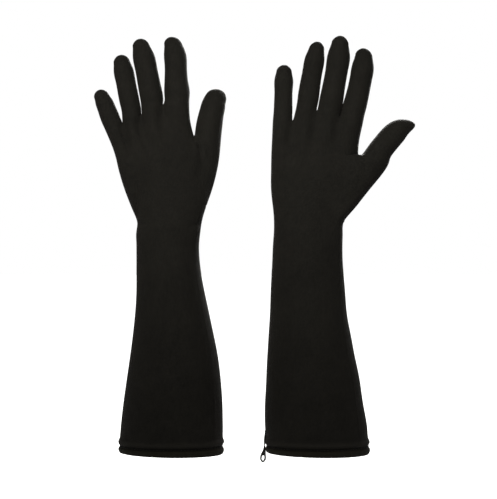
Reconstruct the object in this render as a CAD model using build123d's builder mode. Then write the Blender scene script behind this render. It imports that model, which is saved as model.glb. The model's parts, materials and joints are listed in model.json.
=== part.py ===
from build123d import *
import os
from collections import namedtuple
from math import cos, pi, radians, sin, tan

# A pair of long stretch-jersey opera gloves, standing fingers up and filled out as when they are worn.
# X runs across both gloves, Y from the viewer's side to the far side, Z from the hems to the fingertips.
# The origin is the centre of the left glove's arm opening, in the plane of the hems.
# The left glove shows the back of the hand at -Y, and the right glove shows its palm at -Y.

# ---------------------------------------------------------------- driving dimensions, mm and degrees
FABRIC = 0.9            # one layer of jersey
FLEX_GAP = 0.4          # cut between two bodies at a flex line
CLEARANCE = 0.5         # between a finger and the neighbour that it passes
WRIST_Z = 214.0         # height of the wrist's flex line above the hem
PAIR_SPACING = 142.0    # between the centres of the two arm openings

HEM_STITCH_Z = 6.2      # the hem is sewn through here
HEM_TURN_Z = 12.5       # and the turned-up layer ends here
ELASTIC_Z = (0.9, 5.2)  # the elastic lies in the fold below the stitching
STITCH_COUNT = 60
STITCH = (3.2, 0.4, 0.5)    # along the hem, out of it, and in height
STITCH_STANDOFF = 0.4       # from the jersey to the middle of a stitch

GORE_INSET = (9.5, 3.5)     # the gore's seam lies this far inside the outline at the hem and at the wrist
FOURCHETTE_AT = 0.62        # a fourchette starts at this share of the finger's root radius
STUB_DEPTH = 26.0           # how far a finger's root reaches down into the hand
TIP_ROUNDING = 0.95         # length of the fingertip's dome over its radius

TAB_SIZE = (1.8, 5.0, 15.0)     # folded tape that holds the hanging loop
TAB_Z = 7.0
TAB_STANDOFF = 1.8              # from the hem's edge, because the arm is wider above it
TAB_RISE = 1.2              # from the loop's pivot up to the tab, so that the cord can swing under it
LOOP_CORD = 1.45
LOOP_ARC_SHARE = 0.45           # each arc's share of the shorter run beside it

# Oval sections: height, left edge, right edge, depth front to back.
Section = namedtuple("Section", "z left right depth")
# Fingers: root centre, lean towards +X, length, radius at the root, at the middle and near the tip.
Finger = namedtuple("Finger", "name x z lean length root middle tip")
# Thumb: points on its centre line with the radius there, and the number of the point at its flex line.
ThumbPoint = namedtuple("ThumbPoint", "x y z radius")
Glove = namedtuple("Glove", "name centre palm arm hand fingers thumb thumb_root")

LEFT = Glove(
    name="left",
    centre=0.0,
    palm=1,
    arm=[
        Section(0, -49.5, 50.0, 77),
        Section(50, -44.6, 49.5, 73),
        Section(100, -37.6, 44.0, 64),
        Section(150, -32.8, 33.6, 53),
        Section(WRIST_Z, -32.2, 27.2, 42),
    ],
    hand=[
        Section(WRIST_Z, -32.2, 27.2, 41),
        Section(240, -37.5, 30.0, 34),
        Section(262, -45.5, 31.5, 30),
        Section(286, -51.5, 29.0, 28),
        Section(305, -53.5, 23.5, 25),
        Section(326, -44.0, 17.0, 21),
    ],
    fingers=[
        Finger("little", -53.2, 314.6, -21.0, 41.0, 8.1, 7.9, 6.9),
        Finger("ring", -37.8, 327.9, -10.6, 59.5, 9.3, 9.0, 7.8),
        Finger("middle", -18.5, 336.0, -9.4, 67.0, 10.2, 9.7, 8.3),
        Finger("index", 4.8, 339.0, -3.6, 65.0, 10.4, 9.8, 8.6),
    ],
    thumb=[
        ThumbPoint(21.0, 5.0, 243, 12.0),
        ThumbPoint(30.0, 8.0, 268, 13.2),
        ThumbPoint(35.0, 10.5, 290, 12.5),
        ThumbPoint(37.2, 12.0, 308, 11.6),
        ThumbPoint(40.5, 13.2, 326, 10.9),
        ThumbPoint(43.2, 14.5, 340, 9.3),
        ThumbPoint(44.6, 15.3, 348, 7.2),
        ThumbPoint(45.2, 16.0, 353, 2.6),
    ],
    thumb_root=3,
)
RIGHT = Glove(
    name="right",
    centre=PAIR_SPACING,
    palm=-1,
    arm=[
        Section(0, -48.0, 50.5, 77),
        Section(50, -49.8, 44.2, 73),
        Section(100, -47.5, 34.8, 64),
        Section(150, -44.5, 26.6, 53),
        Section(WRIST_Z, -41.7, 23.8, 42),
    ],
    hand=[
        Section(WRIST_Z, -41.7, 23.8, 41),
        Section(240, -42.8, 30.0, 34),
        Section(262, -44.3, 36.5, 30),
        Section(286, -44.3, 38.5, 28),
        Section(305, -43.8, 40.0, 25),
        Section(319, -42.5, 41.5, 21),
    ],
    fingers=[
        Finger("little", -33.4, 323.5, 2.2, 52.5, 8.6, 8.0, 6.9),
        Finger("ring", -10.5, 333.0, 8.9, 66.0, 9.5, 9.1, 7.8),
        Finger("middle", 11.0, 329.7, 8.4, 74.8, 10.3, 9.8, 8.3),
        Finger("index", 33.6, 325.5, 9.7, 67.5, 10.3, 9.8, 8.6),
    ],
    thumb=[
        ThumbPoint(10.0, -3.0, 230, 9.0),
        ThumbPoint(22.0, -4.0, 243, 12.0),
        ThumbPoint(37.0, -6.0, 258, 13.5),
        ThumbPoint(55.5, -7.2, 283.5, 12.9),
        ThumbPoint(63.5, -7.5, 295, 12.2),
        ThumbPoint(72.5, -7.0, 306.5, 11.5),
        ThumbPoint(83.5, -6.0, 314.6, 8.6),
        ThumbPoint(90.5, -5.0, 316.8, 6.2),
        ThumbPoint(94.3, -4.6, 317.4, 2.2),
    ],
    thumb_root=3,
)

os.makedirs("parts", exist_ok=True)


def save(piece, label):
    """Label one finished piece and write it as its own STEP file."""
    piece.part.label = label
    export_step(piece.part, f"parts/{label}.step")


# ---------------------------------------------------------------- shared solids
def arm_solid(glove, drawn_in=0.0):
    """The arm's filled shape, drawn in all round by a distance."""
    with BuildPart() as solid:
        for oval in glove.arm:
            half_width = (oval.right - oval.left) / 2
            middle = glove.centre + (oval.right + oval.left) / 2
            with BuildSketch(Plane((middle, 0, oval.z))):
                Ellipse(half_width - drawn_in, oval.depth / 2 - drawn_in)
        loft()
    return solid.part


def palm_solid(glove, drawn_in=0.0):
    """The filled palm from the wrist to the knuckles, without fingers or thumb."""
    with BuildPart() as solid:
        for oval in glove.hand:
            height = oval.z - drawn_in if oval is glove.hand[-1] else oval.z
            middle = glove.centre + (oval.right + oval.left) / 2
            with BuildSketch(Plane((middle, 0, height))):
                SlotOverall(oval.right - oval.left - 2 * drawn_in, oval.depth - 2 * drawn_in)
        loft()
    return solid.part


def finger_directions(finger):
    """The finger's own direction, and the direction across it towards +X."""
    lean = radians(finger.lean)
    return Vector(sin(lean), 0, cos(lean)), Vector(cos(lean), 0, -sin(lean))


def finger_root(glove, finger):
    return Vector(glove.centre + finger.x, 0, finger.z)


def finger_solid(glove, finger, drawn_in=0.0):
    """A filled finger, turned about its own axis, from its flex line to its domed tip."""
    along, across = finger_directions(finger)
    root = finger_root(glove, finger)
    dome = finger.tip * TIP_ROUNDING
    reach = finger.length - drawn_in
    with BuildPart() as solid:
        with BuildSketch(Plane(root, x_dir=across, z_dir=(0, -1, 0))):
            with BuildLine():
                Line((0, 0), (finger.root - drawn_in, 0))
                Spline(
                    (finger.root - drawn_in, 0),
                    (finger.middle - drawn_in, finger.length / 2),
                    (finger.tip - drawn_in, finger.length - dome),
                    (0, reach),
                    tangents=[(0, 1), (-1, 0)],
                )
                Line((0, reach), (0, 0))
            make_face()
        revolve(axis=Axis(root, along))
    return solid.part


def root_cylinder(glove, finger, below, above, drawn_in=0.0):
    """A finger's root as a cylinder, from a distance below its flex line to one above it."""
    along, across = finger_directions(finger)
    start = finger_root(glove, finger) - along * below
    with BuildPart() as solid:
        with BuildSketch(Plane(start, x_dir=across, z_dir=along)):
            Circle(finger.root - drawn_in)
        extrude(amount=below + above)
    return solid.part


def folding_room(glove, finger):
    """The room on the palm side that a finger's root turns through as it folds."""
    along, across = finger_directions(finger)
    half = finger.root + CLEARANCE
    start = finger_root(glove, finger) - along * (FLEX_GAP / 2)
    with BuildPart() as room:
        with BuildSketch(Plane(start, x_dir=across, z_dir=along)):
            with Locations((0, glove.palm * half)):
                Rectangle(2 * half, 2 * half)
        extrude(amount=finger.length)
    return room.part


def thumb_flex_plane(glove, shift=0.0):
    """The plane across the thumb at its flex line, facing the tip."""
    before, here, after = glove.thumb[glove.thumb_root - 1:glove.thumb_root + 2]
    towards_tip = Vector(after.x - before.x, after.y - before.y, after.z - before.z).normalized()
    at = Vector(glove.centre + here.x, here.y, here.z) + towards_tip * shift
    return Plane(at, x_dir=(0, 1, 0), z_dir=towards_tip)


def thumb_solid(glove, drawn_in=0.0):
    """The filled thumb with its ball, lofted along its bent centre line."""
    places = [Vector(glove.centre + point.x, point.y, point.z) for point in glove.thumb]
    with BuildPart() as solid:
        for number, point in enumerate(glove.thumb):
            before = places[max(number - 1, 0)]
            after = places[min(number + 1, len(places) - 1)]
            towards_tip = (after - before).normalized()
            at = places[number]
            if number == len(places) - 1:
                at = at - towards_tip * drawn_in
            with BuildSketch(Plane(at, x_dir=(0, 1, 0), z_dir=towards_tip)):
                Circle(point.radius - drawn_in)
        loft(ruled=True)
    return solid.part


def back_plane(glove):
    """The seam plane between the back and the palm, facing the back of the hand."""
    return Plane((glove.centre, 0, 0), x_dir=(1, 0, 0), z_dir=(0, -glove.palm, 0))


# ---------------------------------------------------------------- the arm
def gore_block(glove):
    """Everything on the thumb side of the gore's seam."""
    at_hem, at_wrist = GORE_INSET
    seam = []
    for oval in glove.arm:
        inset = at_hem + (at_wrist - at_hem) * oval.z / WRIST_Z
        seam.append((glove.centre + oval.right - inset, oval.z))
    far = glove.centre + 80
    with BuildPart() as block:
        with BuildSketch(Plane.XZ):
            with BuildLine():
                Spline(*seam)
                Polyline(seam[-1], (far, WRIST_Z), (far, 0), seam[0])
            make_face()
        extrude(amount=60, both=True)
    return block.part


def make_arm(glove):
    """Two panels and the gore, from the hem's stitching to the wrist."""
    filled = arm_solid(glove)
    hollow = arm_solid(glove, FABRIC)
    gore = gore_block(glove)
    bottom = Plane.XY.offset(HEM_STITCH_Z)
    top = Plane.XY.offset(WRIST_Z - FLEX_GAP / 2)
    for name, keep in (("back", Keep.TOP), ("palm", Keep.BOTTOM)):
        with BuildPart() as panel:
            add(filled)
            add(hollow, mode=Mode.SUBTRACT)
            split(bisect_by=bottom, keep=Keep.TOP)
            split(bisect_by=top, keep=Keep.BOTTOM)
            add(gore, mode=Mode.SUBTRACT)
            split(bisect_by=back_plane(glove), keep=keep)
        save(panel, f"{glove.name}_arm_{name}_panel")
    with BuildPart() as strip:
        add(filled)
        add(hollow, mode=Mode.SUBTRACT)
        split(bisect_by=bottom, keep=Keep.TOP)
        split(bisect_by=top, keep=Keep.BOTTOM)
        add(gore, mode=Mode.INTERSECT)
    save(strip, f"{glove.name}_arm_gore")


def make_hem(glove):
    """The turned hem, the elastic in its fold and the stitches that close it."""
    outside = arm_solid(glove)
    under_one = arm_solid(glove, FABRIC)
    under_two = arm_solid(glove, 2 * FABRIC)
    inside = arm_solid(glove, 3 * FABRIC)
    low, high = ELASTIC_Z
    with BuildPart() as elastic:
        add(under_one)
        add(under_two, mode=Mode.SUBTRACT)
        split(bisect_by=Plane.XY.offset(low), keep=Keep.TOP)
        split(bisect_by=Plane.XY.offset(high), keep=Keep.BOTTOM)
    save(elastic, f"{glove.name}_hem_elastic")

    with BuildPart() as turned_layer:
        add(under_one)
        add(under_two, mode=Mode.SUBTRACT)
        split(bisect_by=Plane.XY.offset(HEM_STITCH_Z), keep=Keep.TOP)
        split(bisect_by=Plane.XY.offset(HEM_TURN_Z), keep=Keep.BOTTOM)
    with BuildPart() as band:
        add(outside)
        add(inside, mode=Mode.SUBTRACT)
        split(bisect_by=Plane.XY.offset(HEM_STITCH_Z), keep=Keep.BOTTOM)
        add(elastic.part, mode=Mode.SUBTRACT)
        add(turned_layer.part)
    save(band, f"{glove.name}_hem_band")

    just_outside = section(arm_solid(glove, -STITCH_STANDOFF), Plane.XY.offset(HEM_STITCH_Z - STITCH[2]))
    outline = just_outside.faces()[0].outer_wire()
    with BuildPart() as stitching:
        for number in range(STITCH_COUNT):
            share = (number + 0.5) / STITCH_COUNT
            with BuildSketch(Plane(outline @ share, x_dir=outline % share, z_dir=(0, 0, 1))):
                Rectangle(STITCH[0], STITCH[1])
            extrude(amount=STITCH[2])
    save(stitching, f"{glove.name}_hem_stitching")


# ---------------------------------------------------------------- the hand
def make_hand(glove):
    """The back and the palm of the hand, with the roots of the fingers and the ball of the thumb."""
    flex_plane = thumb_flex_plane(glove)
    with BuildPart() as ball:
        add(thumb_solid(glove))
        split(bisect_by=thumb_flex_plane(glove, -FLEX_GAP / 2), keep=Keep.BOTTOM)
    with BuildPart() as ball_hollow:
        add(thumb_solid(glove, FABRIC))
        split(bisect_by=flex_plane, keep=Keep.BOTTOM)
    with BuildPart() as thumb_room:
        add(thumb_solid(glove, -CLEARANCE))
        split(bisect_by=thumb_flex_plane(glove, -FLEX_GAP / 2), keep=Keep.TOP)
    with BuildPart() as hand:
        add(palm_solid(glove))
        add(ball.part)
        for finger in glove.fingers:
            add(root_cylinder(glove, finger, STUB_DEPTH, -FLEX_GAP / 2))
        add(palm_solid(glove, FABRIC), mode=Mode.SUBTRACT)
        add(ball_hollow.part, mode=Mode.SUBTRACT)
        add(thumb_room.part, mode=Mode.SUBTRACT)
        for finger in glove.fingers:
            add(root_cylinder(glove, finger, STUB_DEPTH, FLEX_GAP, FABRIC), mode=Mode.SUBTRACT)
            add(root_cylinder(glove, finger, FLEX_GAP / 2, finger.length, -CLEARANCE), mode=Mode.SUBTRACT)
            add(folding_room(glove, finger), mode=Mode.SUBTRACT)
        split(bisect_by=Plane.XY.offset(WRIST_Z + FLEX_GAP / 2), keep=Keep.TOP)
    for name, keep in (("back", Keep.TOP), ("palm", Keep.BOTTOM)):
        with BuildPart() as panel:
            add(hand.part)
            split(bisect_by=back_plane(glove), keep=keep)
        save(panel, f"{glove.name}_hand_{name}_panel")


# ---------------------------------------------------------------- fingers and thumb
def make_finger(glove, number):
    """Back and palm strips, and a fourchette on each side that faces another finger."""
    finger = glove.fingers[number]
    along, across = finger_directions(finger)
    root = finger_root(glove, finger)
    flex_plane = Plane(root + along * (FLEX_GAP / 2), x_dir=across, z_dir=along)
    sides = []
    if number > 0:
        sides.append((-1, glove.fingers[number - 1].name))
    if number < len(glove.fingers) - 1:
        sides.append((1, glove.fingers[number + 1].name))
    with BuildPart() as tube:
        add(finger_solid(glove, finger))
        add(finger_solid(glove, finger, FABRIC), mode=Mode.SUBTRACT)
        split(bisect_by=flex_plane, keep=Keep.TOP)

    side_planes = []
    for side, neighbour in sides:
        outward = across * side
        cut = Plane(root + outward * (finger.root * FOURCHETTE_AT), x_dir=along, z_dir=outward)
        side_planes.append(cut)
        with BuildPart() as fourchette:
            add(tube.part)
            split(bisect_by=cut, keep=Keep.TOP)
        save(fourchette, f"{glove.name}_{finger.name}_fourchette_by_{neighbour}")
    for name, keep in (("back", Keep.TOP), ("palm", Keep.BOTTOM)):
        with BuildPart() as strip:
            add(tube.part)
            split(bisect_by=back_plane(glove), keep=keep)
            for cut in side_planes:
                split(bisect_by=cut, keep=Keep.BOTTOM)
        save(strip, f"{glove.name}_{finger.name}_{name}_strip")


def make_thumb(glove):
    """The thumb beyond its flex line, in a back half and a palm half."""
    flex_plane = thumb_flex_plane(glove, FLEX_GAP / 2)
    root = glove.thumb[glove.thumb_root]
    for name, keep in (("back", Keep.TOP), ("palm", Keep.BOTTOM)):
        with BuildPart() as half:
            add(thumb_solid(glove))
            add(thumb_solid(glove, FABRIC), mode=Mode.SUBTRACT)
            split(bisect_by=flex_plane, keep=Keep.TOP)
            split(bisect_by=back_plane(glove).offset(-glove.palm * root.y), keep=keep)
        save(half, f"{glove.name}_thumb_{name}_half")


# ---------------------------------------------------------------- the hanging loop
def make_loop(glove):
    """A folded tab sewn to the outer seam of the arm, and the cord loop that hangs from it."""
    width, depth, height = TAB_SIZE
    tab_x = glove.centre + glove.arm[0].left - TAB_STANDOFF - width / 2
    with BuildPart() as tab:
        with BuildSketch(Plane((tab_x, 0, TAB_Z + TAB_RISE))):
            Rectangle(width, depth)
        extrude(amount=height - TAB_RISE)
        fillet(tab.edges().filter_by(Axis.Z), 0.5)
    save(tab, f"{glove.name}_loop_tab")

    top = TAB_Z - 0.3
    route = [
        (tab_x, -0.9, top),
        (tab_x - 0.5, -0.7, 2.8),
        (tab_x - 3.3, -0.3, -1.6),
        (tab_x - 3.8, -0.1, -6.4),
        (tab_x - 1.6, 0.0, -8.6),
        (tab_x + 0.6, 0.1, -6.4),
        (tab_x + 0.5, 0.3, -1.6),
        (tab_x + 0.1, 0.8, 2.6),
        (tab_x, 0.9, top),
    ]
    runs = [Vector(*end) - Vector(*start) for start, end in zip(route, route[1:])]
    radii = []
    for before, after in zip(runs, runs[1:]):
        half_turn = radians(before.get_angle(after) / 2)
        radii.append(LOOP_ARC_SHARE * min(before.length, after.length) / tan(half_turn))
    with BuildPart() as cord:
        with BuildLine() as path:
            FilletPolyline(*route, radius=radii)
        with BuildSketch(Plane(route[0], z_dir=runs[0])):
            Circle(LOOP_CORD / 2)
        sweep(path=path.line)
    length = path.wires()[0].length
    filled = cord.part.volume / (length * pi * LOOP_CORD ** 2 / 4)
    print("hanging loop: radii", [round(radius, 2) for radius in radii])
    print("hanging loop: length", round(length, 2), "volume over section times length", round(filled, 4))
    save(cord, f"{glove.name}_hang_loop")


for pair_glove in (LEFT, RIGHT):
    make_arm(pair_glove)
    make_hem(pair_glove)
    make_hand(pair_glove)
    for finger_number in range(len(pair_glove.fingers)):
        make_finger(pair_glove, finger_number)
    make_thumb(pair_glove)
make_loop(RIGHT)
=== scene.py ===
"""Looks of a pair of long jersey opera gloves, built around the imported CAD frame.

Lengths are in metres. Each glove is one smooth cage of quads, worked out from the frame's joints and solids,
subdivided, creased, and then divided into the sewn pieces, each a thin closed shell of jersey.
In a glove's own terms "back" is the back of the hand, "across" runs from the little finger to the index.
"""

import json

import bmesh
import bpy
import numpy as np
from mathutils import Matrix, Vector
from mathutils.bvhtree import BVHTree


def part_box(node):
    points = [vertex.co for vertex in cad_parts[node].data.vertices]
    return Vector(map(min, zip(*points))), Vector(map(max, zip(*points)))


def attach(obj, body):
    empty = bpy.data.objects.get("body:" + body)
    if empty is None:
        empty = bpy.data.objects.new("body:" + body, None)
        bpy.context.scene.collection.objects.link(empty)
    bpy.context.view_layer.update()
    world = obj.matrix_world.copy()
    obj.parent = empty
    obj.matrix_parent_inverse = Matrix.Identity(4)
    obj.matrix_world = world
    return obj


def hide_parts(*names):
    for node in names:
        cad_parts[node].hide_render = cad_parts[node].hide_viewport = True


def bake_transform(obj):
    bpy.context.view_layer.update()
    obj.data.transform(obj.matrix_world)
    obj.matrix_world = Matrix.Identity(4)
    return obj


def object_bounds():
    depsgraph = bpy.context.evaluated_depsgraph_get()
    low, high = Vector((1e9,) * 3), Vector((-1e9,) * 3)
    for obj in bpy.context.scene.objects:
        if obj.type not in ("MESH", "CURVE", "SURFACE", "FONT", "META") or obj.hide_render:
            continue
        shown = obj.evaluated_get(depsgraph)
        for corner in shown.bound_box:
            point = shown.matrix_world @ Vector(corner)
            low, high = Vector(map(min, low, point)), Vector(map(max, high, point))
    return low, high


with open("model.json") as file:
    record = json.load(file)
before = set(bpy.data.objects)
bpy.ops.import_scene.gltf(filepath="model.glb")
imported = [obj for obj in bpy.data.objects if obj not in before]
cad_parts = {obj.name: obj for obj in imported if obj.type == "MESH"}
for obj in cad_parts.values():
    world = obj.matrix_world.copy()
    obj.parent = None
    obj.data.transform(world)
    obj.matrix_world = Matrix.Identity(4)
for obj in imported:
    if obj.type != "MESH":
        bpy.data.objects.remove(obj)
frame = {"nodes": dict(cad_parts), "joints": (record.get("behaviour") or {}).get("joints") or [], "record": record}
cad_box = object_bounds()

MM = 0.001
JOINTS = {joint["name"]: joint for joint in frame["joints"]}
PALM = {"left": 1.0, "right": -1.0}  # which way the palm faces along Y
MOUNTS = {mount["name"]: mount for mount in frame["record"]["mounts"]}
CENTRES = {glove: MOUNTS[f"{glove}_arm_opening"]["pos_m"][0] for glove in PALM}
FINGERS = ("little", "ring", "middle", "index")

# ---- driving dimensions
CLOTH = 0.6 * MM  # jersey, one layer
SUBDIVISIONS = 3
CAGE_FITS = 3  # rounds that pull the smooth surface onto the cage's points
SIDE_COLUMNS = 3  # cage columns on the back, and on the palm, of each finger
COLUMNS = 28  # cage columns round the arm
GORE = (12, 16)  # columns of the gore's two seams
THUMB_SIDE = 14  # column of the thumb-side edge
GORE_INSET = (9.5 * MM, 3.5 * MM)  # seam to outline, at the hem and at the wrist
HEM_SEAM_Z = 7.2 * MM
HEM_RIDGE_Z = 11.4 * MM
HEM_BUMPS = ((HEM_SEAM_Z, -1.0 * MM, 1.2 * MM), (HEM_RIDGE_Z, 1.3 * MM, 2.2 * MM))  # height, rise and reach
HEM_TILT = 0.017  # the turned edge hangs a little lower on the right
ARM_HEIGHTS = [
    z * MM
    for z in (7.2, 8.4, 10.0, 12.2, 15.4, 21.0, 30, 42, 55, 70, 85, 100, 115, 130, 145, 160, 174, 186, 196, 205)
]
HAND_SHARES = (0.0, 0.10, 0.21, 0.325, 0.44, 0.56, 0.67, 0.745, 0.87, 1.0)
THUMB_ROWS = {"left": (2, 7), "right": (1, 6)}
THUMB_COLUMNS = (13, 17)
BESIDE_THUMB = (11, 12, 18, 19)  # columns on both sides of the thumb's hole
BALL_SHARES = (0.2, 0.45, 0.72)  # rings of the thumb's ball, from the hole's rim to the flex line
TUBE_START = 3.6 * MM  # first ring of a finger, above its root
TIP_SPAN = 9 * MM  # a finger's end, over which its radius is that of its rounded tip
CURL = 0.05  # how far a finger's tip leans towards the palm, as a share of its length
RIPPLE = 0.22 * MM  # slow waves along a finger
OVAL = 0.97  # a finger's depth against its width
SEAM_GROOVE, SEAM_LIP = 0.32 * MM, 0.10 * MM
SWELL_DEPTH, SWELL_LENGTH = 0.10 * MM, 42 * MM  # slow unevenness of the jersey
ROOT_DROP = {1: 3.0 * MM, -1: 2.0 * MM}  # of a finger's tube below its root, on the back and on the palm
WEB_RISE = {1: -3.4 * MM, 0: 0.0, -1: -1.6 * MM}  # of a web's back, middle and palm points
LEAST_PALM_DEPTH = 11.0 * MM
# The weave's run: steps across a panel's columns, and round and along the thumb and the fingers.
PANEL_PITCH, THUMB_PITCH, THUMB_STEP, FINGER_PITCH, WEAVE_AT_ROOT = 10.0 * MM, 4.4 * MM, 6 * MM, 6 * MM, 0.3
# Height of each web between neighbouring fingers, from the little finger's side.
WEBS = {"left": (0.3186, 0.3290, 0.3385), "right": (0.3228, 0.3322, 0.3258)}
# Against the plain CAD fingers: how far each one sways across and how much fuller it is, in millimetres,
# at these shares of its length.
FINGER_STOPS = (0.0, 0.15, 0.35, 0.6, 0.8, 0.92, 1.0)
FINGER_SHAPES = {
    "left": {
        "little": ((-0.6, -1, -1.2, -1.2, -1.5, -1.8, -1.9), (0.5, 0.9, 0.9, 0.6, 0, -0.2, 0)),
        "ring": ((0.9, 0.9, 0.5, 0.3, 0, -0.2, -0.2), (0.2, 0.5, 0.8, 0.5, 0.1, -0.1, 0)),
        "middle": ((1.1, 1.8, 1.4, 0.9, 0.3, -0.4, -0.6), (0.9, 1.5, 1.4, 0.8, 0.1, -0.3, 0)),
        "index": ((1.3, 2.1, 2, 2.8, 2.2, 0.6, -0.2), (1.3, 2.5, 1.7, 0.9, 0.2, -0.4, 0)),
    },
    "right": {
        "little": ((0.4, 0.6, 0.3, 0, 0, 0, 0), (0.6, 0.8, 0.9, 0.8, 0.4, 0, 0)),
        "ring": ((0.1, 0.3, 0.3, 0.5, 0.7, 0.9, 1), (0.5, 1.1, 1.1, 0.3, -0.2, -0.6, -0.3)),
        "middle": ((0.7, 1.3, 1.7, 2.2, 2, 1.4, 1.2), (1.1, 1.8, 1.6, 1, 0.2, -0.5, -0.3)),
        "index": ((0.2, 0.9, 1.7, 2.2, 2.1, 1.2, 0.8), (1.1, 1.8, 1.4, 0.6, -0.1, -0.6, -0.3)),
    },
}
# Against the plain CAD arm and palm: outward moves of the little finger's side and of the thumb's side,
# in millimetres, at heights in millimetres.
EDGE_TRIM = {
    "left": [
        (0, 0.2, 1.1), (15, 0.5, 0.9), (30, 0.6, 0.7), (90, 0.6, 0.8), (150, 0.3, 0.8), (175, 0.8, 0.9),
        (200, 1, 1.1), (214, 0.9, 1.9), (221, 0.3, 1.8), (226, -0.8, 2), (232, 0.3, 3), (241, 0.6, 5.2),
        (252, 1, 5.5), (300, 1, 0.6), (306, 0.9, -1.4), (314, 0.8, -3), (325, 0.6, -1.9),
    ],
    "right": [
        (0, 0.3, 1), (9, 0.3, 0.4), (30, 0.2, 0.6), (90, 0.2, 0.8), (130, -0.3, 0.6), (150, 0, 1),
        (175, 0.1, 1.5), (214, -0.2, 1.5), (222, 0.2, 1.8), (228, 0, 0), (240, -0.6, -2.4),
        (262, 0, -1), (288, -0.3, -1.9), (297, -0.4, -4.2), (306, -0.5, -3.6), (314, -0.5, -2.6),
        (325, 0, -0.4),
    ],
}
# Thumb beyond its flex line, up to its tip: across, towards the palm, up and radius, in millimetres.
THUMB_PATH = {
    "left": [
        (36, 11.8, 308, 12.9), (36.9, 12.4, 316.5, 12.9), (38.2, 13, 325, 12.6), (39.9, 13.6, 333, 12.1),
        (41.5, 14.2, 338.8, 11.8), (43, 14.7, 343.3, 10.8), (44.9, 15.1, 347.3, 9.9), (46.1, 15.4, 350.5, 8),
        (46.8, 15.6, 352.9, 5), (47, 15.7, 354.1, 0),
    ],
    "right": [
        (55.6, 7.2, 283.5, 13.1), (60, 7.5, 291.8, 11.8), (65.5, 7.7, 299.2, 11.4), (71.2, 7.5, 306, 11.3),
        (76.5, 7, 311.2, 10.7), (81.5, 6.3, 314.5, 9.1), (86.2, 5.7, 316.2, 6.7), (90.2, 5.2, 317.2, 4.5),
        (93, 4.9, 317.6, 2.4), (94.5, 4.8, 318.1, 0),
    ],
}
HAND_BULGE = {"left": 6.5 * MM, "right": 3.0 * MM}  # of the palm's thumb side, beyond a smooth run
BALL_BULGE = {"left": (3.0 * MM, 4.5 * MM), "right": (0.8 * MM, 5.0 * MM)}  # outwards, towards the palm


# ---- small helpers
def smooth(share):
    share = np.clip(share, 0.0, 1.0)
    return share * share * (3 - 2 * share)


def unit(vector):
    vector = np.asarray(vector, float)
    return vector / np.linalg.norm(vector)


def link(name, data):
    made = bpy.data.objects.new(name, data)
    bpy.context.scene.collection.objects.link(made)
    return made


def tree_of(nodes):
    """A search tree over some CAD nodes' faces."""
    vertices, faces = [], []
    for name in nodes:
        mesh = frame["nodes"][name].data
        start = len(vertices)
        vertices.extend(vertex.co.copy() for vertex in mesh.vertices)
        faces.extend([start + index for index in polygon.vertices] for polygon in mesh.polygons)
    return BVHTree.FromPolygons(vertices, faces)


def edge_of(tree, inside, direction):
    """Where the solids' outer surface lies, looking back at an inside point from outside."""
    direction = Vector(direction)
    hit = tree.ray_cast(Vector(inside) + direction * 0.2, -direction)[0]
    return np.array(hit)


# ---- what a glove is measured from
class FingerFrame:
    """A finger's root, directions, radius and length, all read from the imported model."""

    def __init__(self, glove, name):
        joint = JOINTS[f"{glove}_{name}_flex"]
        self.name = name
        self.root = np.array(joint["pos_m"], float)
        self.radius = abs(self.root[1])
        self.root[1] = 0.0
        self.along = unit(np.cross((0, PALM[glove], 0), joint["axis"]))
        self.across = np.array((self.along[2], 0.0, -self.along[0]))
        strip = frame["nodes"][f"{glove}_{name}_back_strip"].data
        points = np.array([vertex.co for vertex in strip.vertices]) - self.root
        self.length = (points @ self.along).max()
        self.tree = tree_of([node for node in frame["nodes"] if node.startswith(f"{glove}_{name}_")])
        self.back = np.array((0.0, -PALM[glove], 0.0))

    def radius_at(self, height):
        """The finger's radius at a height above its flex line."""
        held = max(height, 1.0 * MM)
        return abs(edge_of(self.tree, self.root + self.along * held, self.back)[1])


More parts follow.
